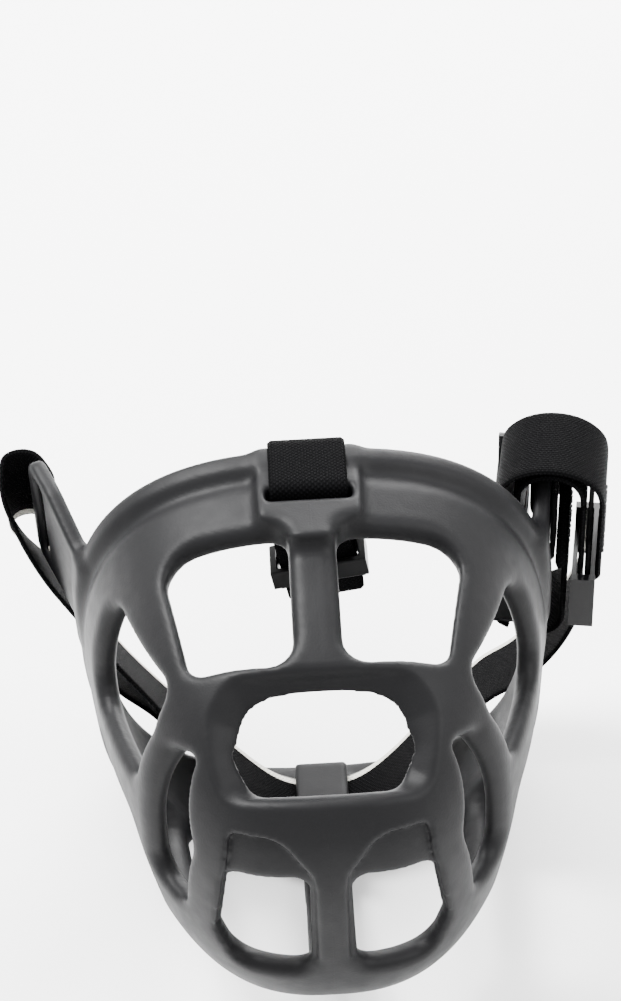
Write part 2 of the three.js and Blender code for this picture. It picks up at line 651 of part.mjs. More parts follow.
// A flat slider that holds the folded tail together.
function overheadSlider() {
  const at = (across, y, down) => tailPlace(across, y, down);
  const box = (low, high) => boxBetween(low, high, at);
  const inner = OUTER_STRAP_WIDTH / 2 + 0.6;
  const outer = inner + 2;
  const front = TAIL_Y - 5.4;
  const back = TAIL_Y + 5.4;
  return toGeometry(
    joinAll([
      box([-outer, front, 9], [-inner, back, 15]),
      box([inner, front, 9], [outer, back, 15]),
      box([-inner - 1, front, 9], [inner + 1, front + 1.8, 15]),
      box([-inner - 1, back - 1.8, 9], [inner + 1, back, 15]),
    ]),
  );
}

// ---- Sewn stitching -----------------------------------------------------------------------------
// A box of thread standing on a face: a frame with two diagonals. at(u, v, w) maps its plane; w is height.
function stitchBox(at, length, width) {
  const thread = 1;
  const height = 0.5;
  const l = length / 2;
  const w = width / 2;
  const diagonal = Math.hypot(l, w);
  const loose = (thread / 2) * diagonal;
  const endX = l - thread / 2;
  const endY = w - thread / 2;
  const shape = new THREE.Shape([[-l, -w], [l, -w], [l, w], [-l, w]].map(([u, v]) => new THREE.Vector2(u, v)));
  const addHole = (...corners) => shape.holes.push(new THREE.Path(corners.map(([u, v]) => new THREE.Vector2(u, v))));
  for (const sign of [-1, 1]) {
    const halfBase = ((endY - loose / l) * l) / w;
    const halfSide = ((endX - loose / w) * w) / l;
    addHole([0, (sign * loose) / l], [halfBase, sign * endY], [-halfBase, sign * endY]);
    addHole([(sign * loose) / w, 0], [sign * endX, halfSide], [sign * endX, -halfSide]);
  }
  const flat = new THREE.ExtrudeGeometry(shape, { depth: height, bevelEnabled: false });
  flat.deleteAttribute('normal');
  flat.deleteAttribute('uv');
  const geometry = mergeVertices(flat, 1e-4);
  const position = geometry.attributes.position;
  const points = Array.from({ length: position.count }, (_, i) => at(position.getX(i), position.getY(i), position.getZ(i)));
  points.forEach((p, i) => position.setXYZ(i, p.x, p.y, p.z));
  const index = Array.from(geometry.index.array);
  if (signedVolume(points, index) < 0) geometry.setIndex(index.reverse());
  geometry.computeVertexNormals();
  return geometry;
}

// On the outside of the right arm's vertical run, just below its diagonal fold.
function armStitches() {
  const place = armPlace(1);
  const face = RUN_LAYER + WEBBING_THICKNESS / 2 + 0.05;
  return stitchBox((u, v, w) => place(RUN_CENTRE + u, face + w, 84 + v), 12, 9);
}

function loopStitches() {
  const place = armPlace(1);
  const face = LOOP_LAYER + WEBBING_THICKNESS / 2 + 0.05;
  return stitchBox((u, v, w) => place(RUN_CENTRE + u, face + w, 84 + v), 18, 9);
}

// ---- Materials and assembly ---------------------------------------------------------------------
function material(color, roughness) {
  return new THREE.MeshStandardMaterial({ color, roughness, metalness: 0 });
}

const RUBBER = material(0x2b2b2d, 0.55);
const NYLON = material(0x0d0d0f, 0.85);
const ACETAL = material(0x111113, 0.3);
const THREAD = material(0x1c1c1f, 0.8);

const muzzle = new THREE.Group();

function addPiece(name, geometry, finish) {
  const mesh = new THREE.Mesh(geometry, finish.clone());
  mesh.name = name;
  muzzle.add(mesh);
}

addPiece('basket', basketGeometry(), RUBBER);
addPiece('neck_strap', neckStrap(), NYLON);
addPiece('strap_tail', strapTail(), NYLON);
addPiece('buckle_strap', buckleStrap(), NYLON);
addPiece('buckle_housing', buckleHousing(), ACETAL);
addPiece('clip_base', clipBase(), ACETAL);
addPiece('release_prong_front', releaseProng(-1), ACETAL);
addPiece('release_prong_rear', releaseProng(1), ACETAL);
addPiece('adjuster_loop', adjusterLoop(), NYLON);
addPiece('neck_slider', slider(), ACETAL);
addPiece('overhead_loop', overheadLoop(), NYLON);
addPiece('overhead_tail', overheadTail(), NYLON);
addPiece('overhead_slider', overheadSlider(), ACETAL);
addPiece('arm_stitching', armStitches(), THREAD);
addPiece('loop_stitching', loopStitches(), THREAD);

// The frame's origin is the middle of the whole object's box, at its base.
const extent = new THREE.Box3().setFromObject(muzzle, true);
const middle = extent.getCenter(new THREE.Vector3());
for (const mesh of muzzle.children) mesh.geometry.translate(-middle.x, -middle.y, -extent.min.z);

export default muzzle;
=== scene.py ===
import math

import bpy
import numpy as np
import openvdb as vdb
from mathutils import Matrix, Vector


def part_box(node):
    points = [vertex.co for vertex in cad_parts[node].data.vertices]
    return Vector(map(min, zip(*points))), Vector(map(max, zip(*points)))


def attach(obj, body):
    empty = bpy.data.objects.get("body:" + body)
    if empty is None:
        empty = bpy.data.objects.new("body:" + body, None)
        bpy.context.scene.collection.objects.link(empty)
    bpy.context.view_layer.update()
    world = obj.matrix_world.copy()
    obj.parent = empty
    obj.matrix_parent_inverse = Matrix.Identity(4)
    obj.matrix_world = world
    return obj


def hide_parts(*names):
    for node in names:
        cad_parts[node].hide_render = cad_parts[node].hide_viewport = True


# The looks of a basket muzzle: a smooth rubber basket, woven straps, sewn seams and eased buckle parts.
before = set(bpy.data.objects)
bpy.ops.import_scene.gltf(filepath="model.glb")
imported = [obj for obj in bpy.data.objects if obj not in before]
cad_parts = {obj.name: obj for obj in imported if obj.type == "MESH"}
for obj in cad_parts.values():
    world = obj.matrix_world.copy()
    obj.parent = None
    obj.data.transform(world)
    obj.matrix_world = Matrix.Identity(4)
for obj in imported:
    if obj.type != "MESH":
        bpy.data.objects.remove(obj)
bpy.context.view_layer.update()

MM = 0.001

# The muzzle is drawn in a frame of its own, in millimetres: the rim's rear face is y = 0, the middle is
# x = 0 and the base is z = 0. The overhead loop stands at a known place on the rim, so it gives the shift.
LOOP_REAR_Y = 3.1
loop_low, loop_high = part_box("overhead_loop")
RIM_ORIGIN = Vector(((loop_low.x + loop_high.x) / 2, loop_high.y - LOOP_REAR_Y * MM, 0))


def from_rim(x, y, z):
    return Vector((x, y, z)) * MM + RIM_ORIGIN


# ---- Sizes, in millimetres ----------------------------------------------------------------------
WALL = 6.5
BASKET_LENGTH = 101
RIM_HALF_WIDTH = 61
RIM_HALF_HEIGHT = 62
BASKET_CENTRE_Z = RIM_HALF_HEIGHT + WALL / 2
RIM_TOP = BASKET_CENTRE_Z + RIM_HALF_HEIGHT + WALL / 2
SECTION_POWER = 2.6
SIDE_POWER = 3.0
UNDERSIDE_POWER = 3.2
WIDTH_TAPER = 0.26
HEIGHT_TAPER = 0.12
CENTRE_DROP = 3

# An arm stands at x = side * ARM_ROOT_X. Along it, "back" runs from the rim and "out" from its middle plane.
ARM_ROOT_X = 61.5
ARM_THICKNESS = 4.5
ARM_FLARE = {-1: math.radians(22.9), 1: math.radians(9.8)}
SLOT_START = 22
SLOT_END = 28
SLOT_CLEARANCE = 0.8
WEBBING_WIDTH = 25
WEBBING_LOW_Z = 76
WEBBING_HIGH_Z = WEBBING_LOW_Z + WEBBING_WIDTH
RUN_START = 6
RUN_END = RUN_START + WEBBING_WIDTH
RUN_CENTRE = (RUN_START + RUN_END) / 2
OVERHEAD_WIDTH = 20

# Distances out from an arm's middle plane of each layer of webbing.
SEWN_LAYER = 3.3
WRAP_LAYER = 5
RUN_LAYER = 6.8
NECK_LAYER = 11.2
LOOP_LAYER = 16.2
INSIDE_LAYER = -3.3
BUCKLE_LAYER = -9.1

# Corners are (u, v, radius). The openings are drawn in x and y, x and z, or y and z, and each of them has a
# mirrored twin. The nose is drawn in its own tilted plane, the arm in "back" and z.
ARM_OUTLINE = [(-6, 66, 3), (14, 70, 12), (33, 71, 5), (33, 106, 5), (18, 105, 20), (-6, 97, 3)]
TOP_OPENING = [(6.2, -27, 5), (38.5, -26, 7), (31.5, -61, 6), (6.2, -64, 6)]
FRONT_OPENING = [(5.2, 80.3, 4), (25, 78.2, 4), (28, 55.5, 8), (24, 45, 5), (6, 46.5, 5)]
SIDE_REAR_OPENING = [(-25.5, 104, 6), (-60, 107, 6), (-64.5, 97, 6), (-64, 79, 5), (-28, 72, 8)]
SIDE_FRONT_OPENING = [(-72, 98, 2.5), (-77.5, 101, 2), (-88.5, 80, 10), (-86, 55, 5), (-72, 53, 5)]
SIDE_LOWER_OPENING = [(-28, 58, 6), (-60, 60, 6), (-71, 44, 8), (-66, 26, 6), (-28, 20, 7)]
BOTTOM_OPENING = [(6.5, -28, 5), (39, -28, 7), (34, -66, 8), (22, -84, 6), (6.5, -86, 5)]
NOSE_HOLE = [(15, 6.2, 4), (18.6, -1, 5), (17, -11.2, 4), (-17, -11.2, 4), (-18.6, -1, 5), (-15, 6.2, 4)]
NOSE_LIP = [(21, 16, 5), (29, 8, 5), (26.5, -12, 5), (-26.5, -12, 5), (-29, 8, 5), (-21, 16, 5)]
RECESS_LIP = [(4.4, 50, 2), (4.4, 82, 6), (12, 92, 8), (24, 91, 3), (28.6, 55.5, 8), (24, 45, 4)]
SLOT_PLATE = [(13, -26, 3), (13, -1, 2), (-13, -1, 2), (-13, -26, 3), (-7, -33, 3), (7, -33, 3)]
SLOT_PLATE_Z = (RIM_TOP - 6, RIM_TOP + 0.6)

# How far each opening's cut reaches into the basket, so that it doesn't cut the far wall too.
TOP_CUT_LOW_Z = 90
BOTTOM_CUT_HIGH_Z = 32
FRONT_CUT_REAR_Y = -84
SIDE_CUT_INNER_X = 28
SIDE_FRONT_CUT_INNER_X = 14
LIP_ROUNDING = 4

# The nose's plane, and where the hole opens into its bevel, measured out from that plane.
NOSE_CENTRE = (0, -81.1, 107)
NOSE_TILT = math.atan2(0.831, 0.556)
NOSE_CUT_REAR = -16
NOSE_BEVEL_START = -7.5
NOSE_BEVEL_DEPTH = 5
NOSE_FLARE = 0.45
NOSE_REACH = 45  # half the side of the square that the nose's outlines are worked out on

# The thick bead and the groove along the upper rim, and the thin bead along the lower rim.
BEAD_START_Z = 62
BEAD_RISE = 30
BEAD_HEIGHT = 1.6
BEAD_Y = -4.2
BEAD_HALF_WIDTH = 3.6
GROOVE_DEPTH = 0.7
GROOVE_Y = -10.2
GROOVE_HALF_WIDTH = 2.2
LOWER_BEAD_HEIGHT = 0.4
LOWER_BEAD_Y = -2.4
LOWER_BEAD_HALF_WIDTH = 2.4

RECESS_DEPTH = 1.9

# Blocks joined to the basket: their reach along x, y and z, and the rounding of their edges.
CHIN_LOOP = (((-7.5, 7.5), (-38.8, -6.3), (3, 14.2)), 1.2)
FOOT = (((-26, 26), (-12, 0), (0, 4)), 1.6)
CHIN_RIB = (((-6, 6), (-52, -6), (0, 7)), 1.6)
FOOT_FACE_Z = 0.15  # the foot is cut flat here, just above the floor

CHIN_WINDOW_Y = (-36.4, -8.7)
CHIN_WINDOW_Z = (7.5, 11.5)
CHIN_WINDOW_HALF_LENGTH = 12
OVERHEAD_SLOT_X = (-11, 11)
OVERHEAD_SLOT_Y = (-19.5, -15.5)
OVERHEAD_SLOT_DEPTH = 14

# The grid of distances. Nothing beyond FIELD_BAND from the surface matters; CLEAR marks "well away".
VOXEL = 0.75
FIELD_LOW = (-82.0, -108.0, -3.0)
FIELD_HIGH = (76.0, 38.0, 135.0)
FIELD_BAND = 3.0
CLEAR = 20
ARM_TABLE_LOW = (-60, -20)
ARM_TABLE_HIGH = (60, 150)
ARM_BACK_LIMIT = -20  # nothing of an arm lies further forward than this


# ---- The basket, as one distance field ----------------------------------------------------------
def rounded_outline(corners, steps=5):
    """A polygon's outline with each corner rounded."""
    outline = []
    count = len(corners)
    for i in range(count):
        here = np.array(corners[i][:2], float)
        radius = corners[i][2]
        before = np.array(corners[i - 1][:2], float) - here
        after = np.array(corners[(i + 1) % count][:2], float) - here
        before /= np.linalg.norm(before)
        after /= np.linalg.norm(after)
        half = math.acos(max(-1.0, min(1.0, float(before @ after)))) / 2
        bisector = (before + after) / np.linalg.norm(before + after)
        centre = here + bisector * radius / math.sin(half)
        start = here + before * radius / math.tan(half) - centre
        end = here + after * radius / math.tan(half) - centre
        first = math.atan2(start[1], start[0])
        sweep = math.atan2(end[1], end[0]) - first
        sweep = (sweep + math.pi) % (2 * math.pi) - math.pi
        for k in range(steps + 1):
            angle = first + sweep * k / steps
            outline.append(centre + radius * np.array((math.cos(angle), math.sin(angle))))
    return np.array(outline)


def outline_distance(outline, u, v):
    """Signed distance from points (u, v) to a closed outline, negative inside."""
    best = np.full(np.broadcast(u, v).shape, 1e9)
    inside = np.zeros(best.shape, bool)
    for (au, av), (bu, bv) in zip(outline, np.roll(outline, -1, axis=0)):
        du = bu - au
        dv = bv - av
        t = np.clip(((u - au) * du + (v - av) * dv) / (du * du + dv * dv + 1e-12), 0, 1)
        best = np.minimum(best, (u - au - t * du) ** 2 + (v - av - t * dv) ** 2)
        crosses = (av > v) != (bv > v)
        inside ^= crosses & (u < du * (v - av) / (dv if dv else 1e-12) + au)
    return np.where(inside, -1, 1) * np.sqrt(best)


def table_distance(corners, low, high, u, v, step=0.5):
    """The same distance for points that don't lie on the grid, read from a fine table."""
    us = np.arange(low[0], high[0] + step, step)
    vs = np.arange(low[1], high[1] + step, step)
    table = outline_distance(rounded_outline(corners), us[:, None], vs[None, :]).astype(np.float32)
    fu = np.clip((u - low[0]) / step, 0, len(us) - 1.001)
    fv = np.clip((v - low[1]) / step, 0, len(vs) - 1.001)
    iu = fu.astype(np.int32)
    iv = fv.astype(np.int32)
    fu = (fu - iu).astype(np.float32)
    fv = (fv - iv).astype(np.float32)
    near = table[iu, iv] * (1 - fv) + table[iu, iv + 1] * fv
    far = table[iu + 1, iv] * (1 - fv) + table[iu + 1, iv + 1] * fv
    return near * (1 - fu) + far * fu


def soft_max(a, b, blend):
    """The larger of two distances, with the crease between them rounded over a width of blend."""
    h = np.clip(blend - np.abs(a - b), 0, None) / blend
    return np.maximum(a, b) + h * h * blend / 4


def soft_min(a, b, blend):
    return -soft_max(-a, -b, blend)


def slab(value, low, high):
    """Distance to the space between two parallel planes."""
    return np.abs(value - (low + high) / 2) - (high - low) / 2


def rounded_block(distances, radius):
    """A body that is the meeting of several slabs or prisms, its edges rounded."""
    grown = [d + radius for d in distances]
    outside = sum(np.clip(d, 0, None) ** 2 for d in grown)
    nearest = grown[0]
    for d in grown[1:]:
        nearest = np.maximum(nearest, d)
    return np.sqrt(outside) + np.minimum(nearest, 0) - radius


def basket_field():
    """Distances from the basket's surface, in millimetres, negative inside the rubber."""
    reaches = zip(FIELD_LOW, FIELD_HIGH)
    xs, ys, zs = (np.arange(low, high, VOXEL, dtype=np.float32) for low, high in reaches)
    x = xs[:, None, None]
    y = ys[None, :, None]
    z = zs[None, None, :]
    wide = np.abs(x)

    def surface(out):
        """Distance to the basket's closed cup, drawn larger by out all round."""
        depth = np.clip(-y / (BASKET_LENGTH + out), 0, None)
        half_width = (RIM_HALF_WIDTH + out) * (1 - WIDTH_TAPER * depth)
        half_height = (RIM_HALF_HEIGHT + out) * (1 - HEIGHT_TAPER * depth)
        height = z - (BASKET_CENTRE_Z - CENTRE_DROP * depth)
        inner = np.clip(depth, 0, 0.99)
        side = (1 - inner ** SIDE_POWER) ** (1 / SIDE_POWER)
        under = (1 - inner ** UNDERSIDE_POWER) ** (1 / UNDERSIDE_POWER)
        height = np.where(height < 0, height * side / under, height)
        section = (wide / half_width) ** SECTION_POWER + (np.abs(height) / half_height) ** SECTION_POWER
        value = (section ** (SIDE_POWER / SECTION_POWER) + depth ** SIDE_POWER) ** (1 / SIDE_POWER) - 1
        slope = sum(g * g for g in np.gradient(value, VOXEL))
        return (value / np.sqrt(np.maximum(slope, 1e-8))).astype(np.float32)

    outer = surface(WALL / 2)
    inner = surface(-WALL / 2)
    upper = np.clip((z - BEAD_START_Z) / BEAD_RISE, 0, 1)
    upper = upper * upper * (3 - 2 * upper)
    bead = np.exp(-(((y - BEAD_Y) / BEAD_HALF_WIDTH) ** 4))
    groove = np.exp(-(((y - GROOVE_Y) / GROOVE_HALF_WIDTH) ** 2))
    outer = outer - upper * (BEAD_HEIGHT * bead - GROOVE_DEPTH * groove)
    lower_bead = np.exp(-(((y - LOWER_BEAD_Y) / LOWER_BEAD_HALF_WIDTH) ** 4)) * (1 - upper)
    outer = outer - LOWER_BEAD_HEIGHT * lower_bead
    shell = soft_max(outer, -inner, blend=1.5)
    shell = soft_max(shell, y, blend=3.5)

    plate = outline_distance(rounded_outline(SLOT_PLATE), x[:, :, 0], y[:, :, 0])[:, :, None]
    plate = rounded_block([plate, slab(z, *SLOT_PLATE_Z)], 1)
    shell = soft_min(shell, plate, blend=4)

    def prism(corners, u, v):
        return outline_distance(rounded_outline(corners), u, v)

    flat_top = wide[:, :, 0], y[:, :, 0]
    flat_front = wide[:, 0, :], z[0]
    flat_side = y[0].reshape(-1, 1), z[0, 0][None, :]
    cuts = [
        np.maximum(prism(TOP_OPENING, *flat_top)[:, :, None], TOP_CUT_LOW_Z - z),
        np.maximum(prism(BOTTOM_OPENING, *flat_top)[:, :, None], z - BOTTOM_CUT_HIGH_Z),
        np.maximum(prism(FRONT_OPENING, *flat_front)[:, None, :], y - FRONT_CUT_REAR_Y),
        np.maximum(prism(SIDE_REAR_OPENING, *flat_side)[None, :, :], SIDE_CUT_INNER_X - wide),
        np.maximum(prism(SIDE_LOWER_OPENING, *flat_side)[None, :, :], SIDE_CUT_INNER_X - wide),
        np.maximum(prism(SIDE_FRONT_OPENING, *flat_side)[None, :, :], SIDE_FRONT_CUT_INNER_X - wide),
    ]
    for cut in cuts:
        shell = soft_max(shell, -cut, blend=LIP_ROUNDING)

    # The nose opening and the bevel round it.
    up = (y - NOSE_CENTRE[1]) * math.sin(NOSE_TILT) + (z - NOSE_CENTRE[2]) * math.cos(NOSE_TILT)
    out = (z - NOSE_CENTRE[2]) * math.sin(NOSE_TILT) - (y - NOSE_CENTRE[1]) * math.cos(NOSE_TILT)
    reach = (-NOSE_REACH, -NOSE_REACH), (NOSE_REACH, NOSE_REACH)
    spread = np.broadcast_arrays(x, up)
    hole = table_distance(NOSE_HOLE, *reach, *spread)
    lip = table_distance(NOSE_LIP, *reach, *spread)
    bevel = np.clip((out - NOSE_BEVEL_START) / NOSE_BEVEL_DEPTH, 0, 1)
    flare = NOSE_FLARE * np.clip(out - (NOSE_BEVEL_START + NOSE_BEVEL_DEPTH), 0, None)
    nose = hole * (1 - bevel) + lip * bevel - flare
    nose = np.maximum(nose, NOSE_CUT_REAR - out)
    shell = soft_max(shell, -nose, blend=3)

    # The recess over and beside each front opening, which leaves a crisp brow.
    brow = prism(RECESS_LIP, *flat_front)[:, None, :]
    recess = np.maximum(np.maximum(brow, y - FRONT_CUT_REAR_Y), -(outer + RECESS_DEPTH))
    shell = soft_max(shell, -recess, blend=1.6)

    def block(reaches, rounding):
        slabs = [slab(axis, *reach) for axis, reach in zip((x, y, z), reaches)]
        return rounded_block(slabs, rounding)

    shell = soft_min(shell, block(*CHIN_LOOP), blend=3)
    shell = soft_min(shell, block(*FOOT), blend=2)
    shell = soft_min(shell, block(*CHIN_RIB), blend=2)
    for side in (-1, 1):
        flare = ARM_FLARE[side]
        across = side * x - ARM_ROOT_X
        back = across * math.sin(flare) + y * math.cos(flare)
        away = across * math.cos(flare) - y * math.sin(flare)
        spread = np.broadcast_arrays(back, z)
        face = table_distance(ARM_OUTLINE, ARM_TABLE_LOW, ARM_TABLE_HIGH, *spread)
        arm = rounded_block([face, np.abs(away) - ARM_THICKNESS / 2], 1.6)
        arm = np.where(spread[0] < ARM_BACK_LIMIT, CLEAR, arm)
        shell = soft_min(shell, arm, blend=4)
        slot_z = slab(z, WEBBING_LOW_Z - SLOT_CLEARANCE, WEBBING_HIGH_Z + SLOT_CLEARANCE)
        slot = rounded_block([slab(back, SLOT_START, SLOT_END), slot_z], 2)
        slot = np.where(side * x > ARM_ROOT_X - 12, slot, CLEAR)
        shell = soft_max(shell, -slot, blend=1.6)

    window = rounded_block([slab(y, *CHIN_WINDOW_Y), slab(z, *CHIN_WINDOW_Z)], 1)
    window = np.maximum(window, wide - CHIN_WINDOW_HALF_LENGTH)
    shell = soft_max(shell, -window, blend=1.2)
    slit = rounded_block([slab(x, *OVERHEAD_SLOT_X), slab(y, *OVERHEAD_SLOT_Y)], 1.2)
    slit = np.maximum(slit, RIM_TOP - OVERHEAD_SLOT_DEPTH - z)
    shell = soft_max(shell, -slit, blend=1.5)
    shell = soft_max(shell, FOOT_FACE_Z - z, blend=1)
    return np.clip(shell, -FIELD_BAND, FIELD_BAND).astype(np.float32)


def basket_mesh():
    field = basket_field()
    grid = vdb.FloatGrid(FIELD_BAND)
    grid.copyFromArray(np.ascontiguousarray(field))
    grid.transform = vdb.createLinearTransform(voxelSize=VOXEL)
    points, quads = grid.convertToQuads(isovalue=0)
    points = (points + np.array(FIELD_LOW)) * MM + np.array(RIM_ORIGIN)
    mesh = bpy.data.meshes.new("rubber_basket")
    mesh.from_pydata(points.tolist(), [], quads.tolist())
    mesh.update()
    mesh.shade_smooth()
    return mesh


# ---- Webbing ------------------------------------------------------------------------------------
WEBBING_THICKNESS = 1.4
WEAVE_STEP = 0.9  # length of webbing between rings of its mesh
WIDTH_STEPS = 12
SELVAGE_SHARE = 0.04  # the part of the width, at each edge, over which the webbing rounds off
BAR_TURN = 2.5  # radius at which webbing turns round a bar


def arm_place(side):
    """A function that turns back along the arm, out from it and up into x, y and z."""
    flare = ARM_FLARE[side]

    def place(back, out, z):
        x = side * (ARM_ROOT_X + back * math.sin(flare) + out * math.cos(flare))
        return np.array((x, back * math.cos(flare) - out * math.sin(flare), z), float)

    return place


def arc_path(centre_p, centre_q, radius, start, end, steps):
    angles = [math.radians(start + (end - start) * i / steps) for i in range(steps + 1)]
    return [(centre_p + radius * math.cos(a), centre_q + radius * math.sin(a)) for a in angles]


def unit(v):
    return v / max(np.linalg.norm(v), 1e-9)


def spline(values, samples):
    """A smooth curve through rows of values, at the same spacing along each span."""
    rows = np.array(values, float)
    rows = np.vstack((2 * rows[0] - rows[1], rows, 2 * rows[-1] - rows[-2]))
    out = []
    for i, count in enumerate(samples):
        p0, p1, p2, p3 = rows[i:i + 4]
        scale0 = np.linalg.norm(p2[:3] - p1[:3]) / max(np.linalg.norm(p1[:3] - p0[:3]), 1e-6)
        scale3 = np.linalg.norm(p2[:3] - p1[:3]) / max(np.linalg.norm(p3[:3] - p2[:3]), 1e-6)
        m1 = ((p1 - p0) * min(scale0, 1.5) + (p2 - p1)) / 2
        m2 = ((p3 - p2) * min(scale3, 1.5) + (p2 - p1)) / 2
        for k in range(count):
            t = k / count
            out.append(
                (2 * t ** 3 - 3 * t ** 2 + 1) * p1
                + (t ** 3 - 2 * t ** 2 + t) * m1
                + (3 * t ** 2 - 2 * t ** 3) * p2
                + (t ** 3 - t ** 2) * m2
            )
    out.append(rows[-2])
    return np.array(out)


def webbing(name, stations, material):
    """A woven strap through stations (edge a, edge b, face or None), with rounded selvages."""
    a = np.array([s[0] for s in stations])
    b = np.array([s[1] for s in stations])
    middle = (a + b) / 2
    faces = []
    for i, s in enumerate(stations):
        along = middle[min(i + 1, len(stations) - 1)] - middle[max(i - 1, 0)]
        faces.append(unit(s[2] if s[2] is not None else np.cross(b[i] - a[i], along)))
    lengths = np.linalg.norm(np.diff(middle, axis=0), axis=1)
    samples = [max(2, int(math.ceil(length / WEAVE_STEP))) for length in lengths]
    rows = spline(np.hstack((middle, b - a, np.array(faces))), samples)
    travelled = np.concatenate(([0], np.cumsum(np.linalg.norm(np.diff(rows[:, :3], axis=0), axis=1))))
    # The section, in shares of the width and thickness, with its points closer together at the edges.
    profile = []
    for k in range(WIDTH_STEPS + 1):
        u = -math.cos(math.pi * k / WIDTH_STEPS) * 0.5
        u = 0.6 * u + 0.4 * (k / WIDTH_STEPS - 0.5)
        edge = min(1.0, (0.5 - abs(u)) / SELVAGE_SHARE)
        profile.append((u, 0.5 * math.sqrt(max(0.0, 1 - (1 - edge) ** 2))))
    ring = profile + [(u, -v) for u, v in reversed(profile[1:-1])]
    points = []
    for row in rows:
        face = unit(row[6:9])
        for u, v in ring:
            points.append(row[:3] + row[3:6] * u + face * (v * WEBBING_THICKNESS))
    count = len(ring)
    quads = []
    coordinates = []
    for r in range(len(rows) - 1):
        for i in range(count):
            j = (i + 1) % count
            quads.append((r * count + i, r * count + j, (r + 1) * count + j, (r + 1) * count + i))
            width = float(np.linalg.norm(rows[r][3:6]))
            coordinates += [
                (ring[i][0] * width, travelled[r]),
                (ring[j][0] * width, travelled[r]),
                (ring[j][0] * width, travelled[r + 1]),
                (ring[i][0] * width, travelled[r + 1]),
            ]
    ends = [list(range(count))[::-1], list(range((len(rows) - 1) * count, len(rows) * count))]
    for end in ends:
        quads.append(tuple(end))
        coordinates += [(0, 0)] * count
    mesh = bpy.data.meshes.new(name)
    mesh.from_pydata([from_rim(*p) for p in points], [], quads)
    layer = mesh.uv_layers.new(name="weave")
    layer.data.foreach_set("uv", np.array(coordinates, float).ravel())
    mesh.update()
    mesh.shade_smooth()
    mesh.materials.append(material)
    piece = bpy.data.objects.new(name, mesh)
    bpy.context.scene.collection.objects.link(piece)
    return piece


def plain(pairs):
    """Stations from pairs of edges, their faces left to be worked out."""
    return [(a, b, None) for a, b in pairs]


def station(x, y, z, across):
    """A station of neck webbing from its middle and the direction across it."""
    half = unit(np.array(across, float)) * WEBBING_WIDTH / 2
    middle = np.array((x, y, z), float)
    return middle - half, middle + half, None


def left_arm_hold():
    """Round the left arm's rear bar and out through its slot."""
    place = arm_place(-1)
    path = [
        (40.6, 6.4),
        (42, 3.6),
        (41.4, 0.2),
        (38.8, -2.5),
        (34.5, INSIDE_LAYER),
        (28.4, INSIDE_LAYER),
        (26, -2.4),
        (25, -0.8),
        (25, 1.6),
    ]
    return plain((place(u, v, WEBBING_HIGH_Z), place(u, v, WEBBING_LOW_Z)) for u, v in path)


ARCH_Z = 99.8
TOP_BAR_Z = 74
SLIDER_REACH = 12  # how far the adjusting loop's sewn end stands above the slider's top bar
ARCH_FLATTENING = 0.78


def vertical_run(out, z):
    """A station of the webbing that runs up beside the right arm."""
    place = arm_place(1)
    return place(RUN_START, out, z), place(RUN_END, out, z), None


def neck_stations():
    return left_arm_hold()[::-1] + [
        station(-83.2, 31.2, 83.5, (0.04, 0.3, -0.95)),
        station(-79, 28, 75.5, (0.1, 0.6, -0.8)),
        station(-72.5, 23, 66.5, (0.1, 0.78, -0.62)),
        station(-65, 17.5, 57, (0, 0.85, -0.53)),
        station(-56, 12.5, 43.5, (0, 0.85, -0.53)),
        station(-47, 8.5, 32.5, (0, 0.87, -0.5)),
        station(-35, -1, 23.4, (0, 0.94, -0.34)),
        station(-23, -12.5, 17.2, (0, 0.97, -0.22)),
        station(-14, -19, 12.5, (0, 0.995, -0.1)),
        station(-8, -21.6, 10.7, (0, 1, 0)),
        station(0, -22.4, 10.3, (0, 1, 0)),
        station(8, -21.6, 10.7, (0, 1, 0)),
        station(14, -19, 12.5, (0, 0.995, -0.1)),
        station(23, -12.5, 16.4, (0, 0.97, -0.22)),
        station(36, 1, 21, (0, 0.95, -0.3)),
        station(49, 12.9, 24.3, (0, 0.96, -0.28)),
        station(58, 14.8, 29, (0.03, 0.97, -0.24)),
        station(65, 16.2, 35.6, (0.05, 0.98, -0.18)),
        station(70.6, 17.2, 43.6, (0.1, 0.99, -0.1)),
        station(74.3, 17.9, 51.2, (0.14, 0.99, -0.05)),
        vertical_run(NECK_LAYER, 59),
        vertical_run(NECK_LAYER, 64),
        vertical_run(NECK_LAYER, ARCH_Z - 1),
    ]


def tail_stations():
    return [
        station(-60.5, 15.5, 37.5, (0, 0.9, -0.42)),
        station(-55, 14, 31.5, (0, 0.9, -0.42)),
        station(-47, 12.6, 24.4, (0, 0.92, -0.39)),
        station(-35, 3.5, 17.6, (0, 0.95, -0.3)),
        station(-23, -11, 13.4, (0, 0.97, -0.22)),
        station(-14, -20.4, 10.4, (0, 0.995, -0.1)),
        station(-8, -22.2, 8.9, (0, 1, 0)),
        station(0, -22.4, 8.6, (0, 1, 0)),
        station(8, -22.2, 8.8, (0, 1, 0)),
    ]


